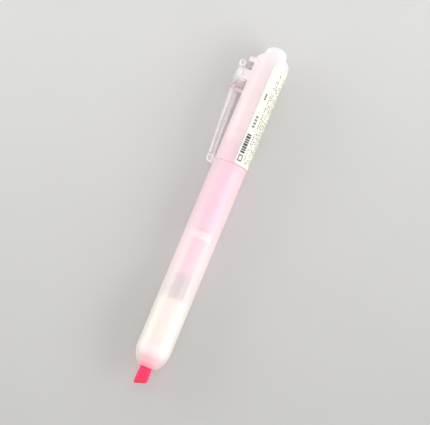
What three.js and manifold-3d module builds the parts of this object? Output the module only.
// A retractable highlighter that lies on a flat surface, resting on its barrel and its clip.
// It is extended: the nib is out and the knock button is in.
//
// Frame, in millimetres: +X runs from the nib to the knock button, +Z is up, and the surface it lies on is z = 0.
// Most pieces are turned about the pen's axis, so their profiles are lists of [station, radius].
// A station is the distance along the axis from the nib's writing edge, which is at 0.
// The clip and what holds it are drawn in the clip's own plane as [station, radius] and given a width across it.
import * as THREE from "three";
import { mergeVertices } from "three/addons/utils/BufferGeometryUtils.js";
import Module from "manifold-3d";

const wasm = await Module();
wasm.setup();

// ---------------------------------------------------------------- driving dimensions
const LENGTH = 138;
const BARREL_RADIUS = 6.55;
const WALL = 1;
const TRAVEL = 12.5; // of the knock and the refill, from extended to retracted

const SHELL_FACETS = 32; // the outer shells are flat underneath, where a facet meets the surface
const INNER_FACETS = 24;
const FINE_FACETS = 16;

const NOSE = { hole: 2.95, front: 6.9, centre: 14.7, length: 8.9 };
const SHOULDER = { hole: 4.4, end: 134.25, centre: 131.3, length: 4.1 };
const BARREL_JOINT = 89.4; // where the front and rear shells meet
const SPIGOT = { start: 81.5, radius: 5.35, bore: 4.7 };

const NIB = { width: 5, thickness: 3.4, corner: 0.9, slant: 1.4, bevel: 3.6, edge: 1.1 };
const NECK = { radius: 2.4, bore: 1.5, start: 19.1, end: 63.6 };
const SPRING_SEAT = { start: 44.4, end: 45.4, radius: 3.05, chamfer: 0.4 };
const RESERVOIR = { radius: 3.6, start: 62.1, end: 97.6, wall: 0.45 };
const CORE = { start: 64.2, end: 94.8, socketEnd: 66.4, socket: 1.4 };
const PLUG = { start: 95.2, end: 102.3, radius: 4.6 };
const WICK = { start: 19, end: 66, radius: 1.25 };
const COLLAR = { start: 58.6, end: 61.8, radius: 3.8 };
const CHAMBER = { start: 15.7, end: 34.3, radius: 5.3, bore: 3.95, endWall: 1.3 };
const HOLDER = { start: 8.3, end: 18.8, radius: 3.1 };

const BUTTON = { radius: 4.2, start: 119, dome: 3, face: 1.6, wall: 1.45 };
const SLIDER = { radius: 5.2, start: 102.6, end: 116.8, stem: 2.6, wall: 1.2 };

const CLIP = { width: 4.4, outer: 12.2, arm: 1.05, footStart: 87.9, footInner: 6.75, plateInner: 11.2 };
const PIVOT = { station: 124.5, radius: 9.3, boss: 1.7, pin: 0.75, hole: 0.8 };
const EAR = { inner: 1.35, outer: 2.35, top: 1.6, halfBase: 2.1 };
const LATCH = { start: 117.4, nose: 117.9, end: 118.5, tip: 4.5, ramp: 5.7, top: 10.6, width: 1.8 };
const WEB_WIDTH = 2.3;

const SPRING = { start: 34.6, end: 44.1, radius: 2.8, wire: 0.25, turns: 11 };
const CLIP_SPRING = { station: 128.2, start: 6.75, end: 9.45, radius: 0.8, wire: 0.15, turns: 4 };
const LABEL = { start: 89.8, end: 130.1, gap: 0.03, thickness: 0.13, fromTop: 10, sweep: 120 };

// ---------------------------------------------------------------- how the pen lies
const boreRadius = BARREL_RADIUS - WALL;
const axisHeight = BARREL_RADIUS * Math.cos(Math.PI / SHELL_FACETS);
// The clip hangs below the horizontal until the lower edge of its outer face meets the surface.
const clipCorner = Math.hypot(CLIP.outer, CLIP.width / 2);
const clipTilt =
  Math.asin(axisHeight / clipCorner) - Math.atan2(CLIP.width / 2, CLIP.outer);
const clipReach = CLIP.outer * Math.cos(clipTilt) + (CLIP.width / 2) * Math.sin(clipTilt);
const labelReach = BARREL_RADIUS + LABEL.gap + LABEL.thickness;

// ---------------------------------------------------------------- shapes
function solidOf(geometry) {
  const bare = geometry.clone();
  bare.deleteAttribute("normal");
  bare.deleteAttribute("uv");
  const merged = mergeVertices(bare, 1e-4);
  const vertProperties = merged.attributes.position.array;
  const triVerts = new Uint32Array(merged.index.array);
  return new wasm.Manifold(new wasm.Mesh({ numProp: 3, vertProperties, triVerts }));
}

function geometryOf(solid) {
  const mesh = solid.getMesh();
  const geometry = new THREE.BufferGeometry();
  geometry.setAttribute("position", new THREE.BufferAttribute(mesh.vertProperties, 3));
  geometry.setIndex(new THREE.BufferAttribute(mesh.triVerts, 1));
  const flat = geometry.toNonIndexed();
  flat.computeVertexNormals();
  return flat;
}

// A solid turned about the pen's axis from a profile of [station, radius], in order round its outline.
// A facet, not an edge, faces straight down.
function turned(profile, facets = INNER_FACETS) {
  const onAxis = profile[0][1] === 0;
  const loop = onAxis ? profile : [...profile, profile[0]];
  const area = loop.reduce((sum, [s, r], i) => {
    const [nextS, nextR] = loop[(i + 1) % loop.length];
    return sum + r * nextS - nextR * s;
  }, 0);
  const points = loop.map(([s, r]) => new THREE.Vector2(r, s));
  if (area < 0) points.reverse();
  return new THREE.LatheGeometry(points, facets, Math.PI / facets).rotateZ(-Math.PI / 2);
}

// A tube or rod between two stations; bore 0 makes it solid.
function tube(start, end, radius, bore = 0, facets = INNER_FACETS) {
  const profile = [[start, bore], [start, radius], [end, radius], [end, bore]];
  return turned(profile, facets);
}

// A flat outline in the clip's plane, [station, radius], with a width across that plane.
function plate(outline, width, middle = 0) {
  const shape = outline instanceof THREE.Shape
    ? outline
    : new THREE.Shape(outline.map(([s, r]) => new THREE.Vector2(s, r)));
  const geometry = new THREE.ExtrudeGeometry(shape, {
    depth: width,
    bevelEnabled: false,
    curveSegments: 8,
  });
  return geometry.translate(0, 0, middle - width / 2);
}

// A round hole or pin across the clip's plane.
function crossRod(station, radius, rodRadius, width) {
  const rod = new THREE.CylinderGeometry(rodRadius, rodRadius, width, FINE_FACETS);
  return rod.rotateX(Math.PI / 2).translate(station, radius, 0);
}

// Turns a solid drawn in the clip's plane to where the clip lies.
function tiltedSolid(geometry) {
  return solidOf(geometry.clone().rotateX(-clipTilt));
}

// An arc of an ellipse as [station, radius] points, from where it leaves the cylinder down to a hole.
function endCurve(centre, length, radius, hole, steps) {
  const last = Math.acos(hole / radius);
  return Array.from({ length: steps + 1 }, (_, i) => {
    const angle = (last * i) / steps;
    return [centre + length * Math.sin(angle), radius * Math.cos(angle)];
  });
}

// The middle of a wire coiled round the pen's axis, from start to end.
class Coil extends THREE.Curve {
  constructor(turns, radius, start, end) {
    super();
    Object.assign(this, { turns, radius, start, end });
  }
  getPoint(t, target = new THREE.Vector3()) {
    const along = this.start + t * (this.end - this.start);
    const angle = 2 * Math.PI * t * this.turns;
    return target.set(along, this.radius * Math.cos(angle), this.radius * Math.sin(angle));
  }
}

function wireCoil({ turns, radius, start, end, wire }, stepsPerTurn, sides) {
  const section = new THREE.Shape();
  section.absarc(0, 0, wire, 0, 2 * Math.PI);
  return new THREE.ExtrudeGeometry(section, {
    steps: Math.round(turns * stepsPerTurn),
    curveSegments: sides,
    bevelEnabled: false,
    extrudePath: new Coil(turns, radius, start + wire, end - wire),
  });
}

// ---------------------------------------------------------------- shells
// Front shell: a round nose with the hole the nib comes out of, and a long plain tube.
function frontBarrel() {
  const rim = 0.15;
  const innerLength = NOSE.length - WALL;
  const outer = endCurve(NOSE.centre, -NOSE.length, BARREL_RADIUS, NOSE.hole + 2 * rim, 9);
  const inner = endCurve(NOSE.centre, -innerLength, boreRadius, NOSE.hole, 6);
  const rear = BARREL_JOINT - 0.1;
  const chamfer = 0.1;
  return turned(
    [
      [NOSE.front, NOSE.hole],
      [NOSE.front, NOSE.hole + rim],
      ...outer.reverse(),
      [rear - chamfer, BARREL_RADIUS],
      [rear, BARREL_RADIUS - chamfer],
      [rear, boreRadius],
      ...inner,
    ],
    SHELL_FACETS,
  );
}

// Rear shell: a spigot that plugs into the front shell, a bore for the slider, a round shoulder with the button's
// hole, two ears for the clip's pin, a stop behind the clip's lever, and a slot for the latch.
function rearBarrel() {
  const rim = 0.15;
  const chamfer = 0.1;
  const joint = BARREL_JOINT + 0.05;
  const outer = endCurve(SHOULDER.centre, SHOULDER.length, BARREL_RADIUS, SHOULDER.hole + 2 * rim, 7);
  const inner = endCurve(SHOULDER.centre, SHOULDER.length - 1.1, boreRadius, SHOULDER.hole, 5);
  const tubeSolid = solidOf(
    turned(
      [
        [SPIGOT.start, SPIGOT.bore],
        [SPIGOT.start, SPIGOT.radius - 0.3],
        [SPIGOT.start + 0.6, SPIGOT.radius],
        [joint, SPIGOT.radius],
        [joint, BARREL_RADIUS - chamfer],
        [joint + chamfer, BARREL_RADIUS],
        ...outer,
        [SHOULDER.end, SHOULDER.hole + rim],
        [SHOULDER.end, SHOULDER.hole],
        ...inner.reverse(),
        [joint + 4, boreRadius],
        [joint + 2, SPIGOT.bore],
      ],
      SHELL_FACETS,
    ),
  );

  const root = BARREL_RADIUS - 0.9; // sunk into the wall, short of the bore
  const ear = new THREE.Shape();
  ear.moveTo(PIVOT.station - EAR.halfBase, root);
  ear.lineTo(PIVOT.station + EAR.halfBase, root);
  ear.absarc(PIVOT.station, PIVOT.radius, EAR.top, 0, Math.PI, false);
  const earWidth = EAR.outer - EAR.inner;
  const earMiddle = (EAR.outer + EAR.inner) / 2;

  const stop = new THREE.Shape();
  stop.moveTo(130, root);
  stop.lineTo(132, root - 0.1);
  stop.absarc(131, 8.2, 1, 0, Math.PI, false);

  const pinHole = tiltedSolid(crossRod(PIVOT.station, PIVOT.radius, PIVOT.hole, 2 * EAR.outer + 1));
  const slot = [[116.4, 4.9], [119.4, 4.9], [119.4, 7.5], [116.4, 7.5]];
  return geometryOf(
    tubeSolid
      .add(tiltedSolid(plate(ear, earWidth, earMiddle)))
      .add(tiltedSolid(plate(ear, earWidth, -earMiddle)))
      .add(tiltedSolid(plate(stop, 3.2)))
      .subtract(pinHole)
      .subtract(tiltedSolid(plate(slot, 2.4))),
  );
}

// Paper label: a thin shell round the side away from the clip.
function label() {
  const inner = BARREL_RADIUS + LABEL.gap;
  const ring = solidOf(
    tube(LABEL.start, LABEL.end, inner + LABEL.thickness, inner, SHELL_FACETS),
  );
  const from = THREE.MathUtils.degToRad(90 + LABEL.fromTop);
  const to = from + THREE.MathUtils.degToRad(LABEL.sweep);
  const sector = new THREE.Shape();
  sector.moveTo(0, 0);
  sector.absarc(0, 0, 2 * BARREL_RADIUS, from, to, false);
  // drawn with the pen's -Y to the left and +Z up, then stood across the axis
  const wedge = new THREE.ExtrudeGeometry(sector, { depth: LENGTH, bevelEnabled: false });
  wedge.rotateX(Math.PI / 2).rotateZ(Math.PI / 2);
  return geometryOf(ring.intersect(solidOf(wedge)));
}

// ---------------------------------------------------------------- nose seals
// Chamber that keeps the retracted nib from drying out, with an end wall round the refill's neck.
function sealChamber() {
  const flange = CHAMBER.radius + 0.1;
  return turned([
    [CHAMBER.start, CHAMBER.bore],
    [CHAMBER.start, flange],
    [CHAMBER.start + 1.3, flange],
    [CHAMBER.start + 1.4, CHAMBER.radius],
    [CHAMBER.end - 0.3, CHAMBER.radius],
    [CHAMBER.end, CHAMBER.radius - 0.3],
    [CHAMBER.end, NECK.radius + 0.3],
    [CHAMBER.end - CHAMBER.endWall, NECK.radius + 0.3],
    [CHAMBER.end - CHAMBER.endWall, CHAMBER.bore],
  ]);
}

// Soft seal whose lips the nib holder pushes apart; they close in front of the nib once it is back.
function tipSeal() {
  return turned([
    [10.7, 3.72],
    [10.7, 4.1],
    [12.9, 5],
    [13.2, 5.4],
    [15.4, 5.4],
    [15.4, 4.6],
    [13.6, 4.6],
  ]);
}

// Rubber ring at the chamber's rear, which wipes the refill's neck.
function wiperSeal() {
  const end = CHAMBER.end - CHAMBER.endWall - 0.3;
  return tube(end - 1.2, end, CHAMBER.bore - 0.1, NECK.radius + 0.08);
}

// ---------------------------------------------------------------- refill
// Felt chisel nib: a rounded bar with two bevels and a slanted edge, on a round shank.
function nibSection(margin) {
  const halfWidth = NIB.width / 2 + margin;
  const halfThick = NIB.thickness / 2 + margin;
  const c = NIB.corner;
  const section = new THREE.Shape();
  section.absarc(halfWidth - c, halfThick - c, c, 0, Math.PI / 2, false);
  section.absarc(c - halfWidth, halfThick - c, c, Math.PI / 2, Math.PI, false);
  section.absarc(c - halfWidth, c - halfThick, c, Math.PI, 1.5 * Math.PI, false);
  section.absarc(halfWidth - c, c - halfThick, c, 1.5 * Math.PI, 2 * Math.PI, false);
  return section;
}

// A section drawn across the axis, [y, z], made into a bar along it.
function bar(section, start, end) {
  const geometry = new THREE.ExtrudeGeometry(section, {
    depth: end - start,
    bevelEnabled: false,
    curveSegments: 5,
  });
  return geometry.rotateX(Math.PI / 2).rotateZ(Math.PI / 2).translate(start, 0, 0);
}

function nib() {
  const body = solidOf(bar(nibSection(0), 0, 9.2));
  const half = NIB.thickness; // past the bar's own faces
  const rear = 30;
  const wedgeOutline = [
    [0, -NIB.edge / 2],
    [NIB.bevel, -NIB.thickness / 2 - 0.05],
    [rear, -half],
    [rear, half],
    [NIB.bevel, NIB.thickness / 2 + 0.05],
    [0, NIB.edge / 2],
  ];
  const slant = Math.atan2(NIB.slant, NIB.width);
  const wedge = plate(wedgeOutline, 60).rotateX(Math.PI / 2);
  wedge.rotateZ(slant).translate(0, NIB.width / 2, 0);
  const shank = solidOf(tube(8.6, 18.5, 1.6, 0, FINE_FACETS));
  return geometryOf(body.intersect(solidOf(wedge)).add(shank));
}

// Stepped holder that grips the nib, with grip rings on its nose.
function nibHolder() {
  const rings = [[8.9, 3.3], [10.5, 3.4], [12.4, 3.5]];
  const halfRing = 0.25;
  const outline = [[HOLDER.start, 0], [HOLDER.start, HOLDER.radius - 0.05]];
  for (const [station, radius] of rings) {
    outline.push([station - halfRing, HOLDER.radius], [station - halfRing, radius]);
    outline.push([station + halfRing, radius], [station + halfRing, HOLDER.radius]);
  }
  outline.push([HOLDER.end - 3, HOLDER.radius], [HOLDER.end, NECK.radius + 0.2], [HOLDER.end, 0]);
  const socket = solidOf(bar(nibSection(0.12), 0, 9.4));
  const bore = solidOf(tube(0, HOLDER.end + 1, 1.75, 0, FINE_FACETS));
  return geometryOf(solidOf(turned(outline)).subtract(socket).subtract(bore));
}

// Reservoir tube: closed in front round the neck, open behind for the plug.
function reservoirCase() {
  const bore = RESERVOIR.radius - RESERVOIR.wall;
  return turned([
    [RESERVOIR.start, NECK.radius + 0.12],
    [RESERVOIR.start, RESERVOIR.radius - 0.4],
    [RESERVOIR.start + 0.4, RESERVOIR.radius],
    [RESERVOIR.end, RESERVOIR.radius],
    [RESERVOIR.end, bore],
    [RESERVOIR.start + 1.2, bore],
    [RESERVOIR.start + 1.2, NECK.radius + 0.12],
  ]);
}

// Ink-soaked fibre core, with a socket for the wick.
function inkCore() {
  const radius = RESERVOIR.radius - RESERVOIR.wall - 0.15;
  return turned([
    [CORE.socketEnd, 0],
    [CORE.socketEnd, CORE.socket],
    [CORE.start, CORE.socket],
    [CORE.start, radius],
    [CORE.end, radius],
    [CORE.end, 0],
  ]);
}

function refillPlug() {
  const fit = RESERVOIR.radius - RESERVOIR.wall - 0.12;
  return turned([
    [PLUG.start, 0],
    [PLUG.start, fit - 0.2],
    [PLUG.start + 0.3, fit],
    [RESERVOIR.end + 0.2, fit],
    [RESERVOIR.end + 0.2, PLUG.radius],
    [PLUG.end - 0.3, PLUG.radius],
    [PLUG.end, PLUG.radius - 0.3],
    [PLUG.end, 0],
  ]);
}

// Thin tube the wick runs in, with a flange that the return spring pushes on.
function refillNeck() {
  return turned([
    [NECK.start, NECK.bore],
    [NECK.start, NECK.radius],
    [SPRING_SEAT.start, NECK.radius],
    [SPRING_SEAT.start, SPRING_SEAT.radius],
    [SPRING_SEAT.end - SPRING_SEAT.chamfer, SPRING_SEAT.radius],
    [SPRING_SEAT.end, NECK.radius],
    [NECK.end, NECK.radius],
    [NECK.end, NECK.bore],
  ]);
}

// White collar that joins the neck to the reservoir.
function reservoirCollar() {
  return turned([
    [COLLAR.start, NECK.radius + 0.12],
    [COLLAR.start, COLLAR.radius - 0.2],
    [COLLAR.start + 0.2, COLLAR.radius],
    [COLLAR.end - 0.2, COLLAR.radius],
    [COLLAR.end, COLLAR.radius - 0.2],
    [COLLAR.end, NECK.radius + 0.12],
  ]);
}

// ---------------------------------------------------------------- knock
function knockButton() {
  const bore = BUTTON.radius - BUTTON.wall;
  const domeWidth = BUTTON.radius - BUTTON.face;
  const domeSteps = 5;
  const dome = Array.from({ length: domeSteps + 1 }, (_, i) => {
    const angle = (Math.PI / 2) * (i / domeSteps);
    return [
      LENGTH - BUTTON.dome + BUTTON.dome * Math.sin(angle),
      BUTTON.face + domeWidth * Math.cos(angle),
    ];
  });
  return turned([
    [LENGTH - 3.1, 0],
    [LENGTH - 3.1, bore],
    [BUTTON.start, bore],
    [BUTTON.start, BUTTON.radius - 0.2],
    [BUTTON.start + 0.2, BUTTON.radius],
    ...dome,
    [LENGTH, 0],
  ]);
}

// Slider: a guide tube that pushes the refill, a rim that the latch catches, and a stem for the button.
function knockSlider() {
  const rim = 0.6;
  const grooveFloor = 3.9;
  const guideBore = SLIDER.radius - SLIDER.wall;
  const body = solidOf(
    turned([
      [SLIDER.end - 1.5, 0],
      [SLIDER.end - 1.5, guideBore],
      [SLIDER.start, guideBore],
      [SLIDER.start, SLIDER.radius - 0.3],
      [SLIDER.start + 0.3, SLIDER.radius],
      [SLIDER.end, SLIDER.radius],
      [SLIDER.end, SLIDER.stem],
      [LENGTH - 3.5, SLIDER.stem],
      [LENGTH - 3.5, 0],
    ]),
  );
  const grooveStart = LATCH.start - TRAVEL - 0.4; // clears the leaf when the knock is all the way back
  const groove = [
    [grooveStart, grooveFloor],
    [SLIDER.end - rim, grooveFloor],
    [SLIDER.end - rim, SLIDER.radius + 1],
    [grooveStart, SLIDER.radius + 1],
  ];
  return geometryOf(body.subtract(tiltedSolid(plate(groove, LATCH.width + 0.8))));
}

// ---------------------------------------------------------------- clip
// Clear clip: an arm with a rounded foot, a web with a boss on the pin, and a thumb lever behind it.
function clip() {
  const plateStart = PIVOT.station - EAR.halfBase - 0.2;
  const plateEnd = PIVOT.station + EAR.halfBase + 0.3;
  const armEnd = 121;
  const footTop = 9.75;
  const arm = new THREE.Shape();
  arm.moveTo(90.5, footTop);
  arm.lineTo(90.6, footTop - CLIP.arm);
  arm.lineTo(armEnd, CLIP.outer - CLIP.arm);
  arm.lineTo(plateStart, CLIP.outer - CLIP.arm);
  arm.lineTo(plateStart, CLIP.plateInner);
  arm.lineTo(plateEnd, CLIP.plateInner);
  arm.lineTo(plateEnd, 10.1);
  arm.absarc(128.5, CLIP.outer - 1.3, 1.3, -0.7 * Math.PI, 0.5 * Math.PI, false);
  arm.lineTo(armEnd, CLIP.outer);

  const web = new THREE.Shape();
  web.moveTo(LATCH.end + 0.1, 11.2);
  web.lineTo(LATCH.end + 0.1, 8);
  web.lineTo(119.9, PIVOT.radius - PIVOT.boss);
  web.absarc(PIVOT.station, PIVOT.radius, PIVOT.boss, -0.5 * Math.PI, 0.2 * Math.PI, false);
  web.lineTo(plateEnd + 0.2, 11.4);

  const foot = new THREE.SphereGeometry(1, 16, 10);
  foot.scale(2.6, (footTop - CLIP.footInner) / 2, CLIP.width / 2);
  foot.translate(CLIP.footStart + 2.6, (footTop + CLIP.footInner) / 2, 0);

  const made = solidOf(plate(arm, CLIP.width))
    .add(solidOf(foot))
    .add(solidOf(plate(web, WEB_WIDTH)))
    .subtract(solidOf(crossRod(PIVOT.station, PIVOT.radius, PIVOT.hole, 10)));
  return geometryOf(made).rotateX(-clipTilt);
}

// Springy leaf under the clip's arm. It hooks behind the slider's rim and holds the pen extended.
// It gives way to the rim as the knock is pressed, and rocking the clip lifts it off.
function latchLeaf() {
  const outline = [
    [LATCH.start, LATCH.top],
    [LATCH.start, LATCH.tip],
    [LATCH.nose, LATCH.tip],
    [LATCH.end, LATCH.ramp],
    [LATCH.end, LATCH.top],
  ];
  return plate(outline, LATCH.width).rotateX(-clipTilt);
}

function clipPin() {
  const pin = crossRod(PIVOT.station, PIVOT.radius, PIVOT.pin, 2 * EAR.outer);
  return pin.rotateX(-clipTilt);
}

// Small spring that pushes the lever out, and so holds the foot on the barrel.
function clipSpring() {
  const wire = wireCoil(CLIP_SPRING, 9, 4);
  return wire.rotateZ(Math.PI / 2).translate(CLIP_SPRING.station, 0, 0).rotateX(-clipTilt);
}

// ---------------------------------------------------------------- materials
function finish(colour, roughness, metalness = 0) {
  return new THREE.MeshStandardMaterial({ color: colour, roughness, metalness });
}
const frosted = finish(0xf6e3e4, 0.45);
const clear = finish(0xe9e6e4, 0.08);
const whitePlastic = finish(0xf4f0ee, 0.4);
const cream = finish(0xf6ecdf, 0.4);
const softSeal = finish(0xefe6e2, 0.7);
const darkRubber = finish(0x8d8690, 0.7);
const steel = finish(0xb9b9bf, 0.3, 1);
const paper = finish(0xf4f1e4, 0.7);
const inkFibre = finish(0xf0408a, 0.9);
const nibFelt = finish(0xff3f78, 0.9);
const tintedPlastic = finish(0xf6c9d6, 0.35);

// ---------------------------------------------------------------- assembly
const pen = new THREE.Group();
pen.position.set(-LENGTH / 2, (labelReach - clipReach) / 2, axisHeight);

function addPiece(name, geometry, material) {
  const mesh = new THREE.Mesh(geometry, material);
  mesh.name = name;
  pen.add(mesh);
}

addPiece("front_barrel", frontBarrel(), frosted);
addPiece("rear_barrel", rearBarrel(), frosted);
addPiece("label", label(), paper);
addPiece("seal_chamber", sealChamber(), cream);
addPiece("tip_seal", tipSeal(), softSeal);
addPiece("wiper_seal", wiperSeal(), darkRubber);
addPiece("clip_pin", clipPin(), steel);
addPiece("return_spring", wireCoil(SPRING, 11, 5), steel);

addPiece("nib", nib(), nibFelt);
addPiece("nib_holder", nibHolder(), tintedPlastic);
addPiece("feed_wick", tube(WICK.start, WICK.end, WICK.radius, 0, FINE_FACETS), inkFibre);
addPiece("refill_neck", refillNeck(), tintedPlastic);
addPiece("reservoir_collar", reservoirCollar(), whitePlastic);
addPiece("reservoir_case", reservoirCase(), tintedPlastic);
addPiece("ink_core", inkCore(), inkFibre);
addPiece("refill_plug", refillPlug(), whitePlastic);

addPiece("knock_button", knockButton(), whitePlastic);
addPiece("knock_slider", knockSlider(), tintedPlastic);

addPiece("clip", clip(), clear);
addPiece("latch_leaf", latchLeaf(), whitePlastic);
addPiece("clip_spring", clipSpring(), steel);

export default pen;
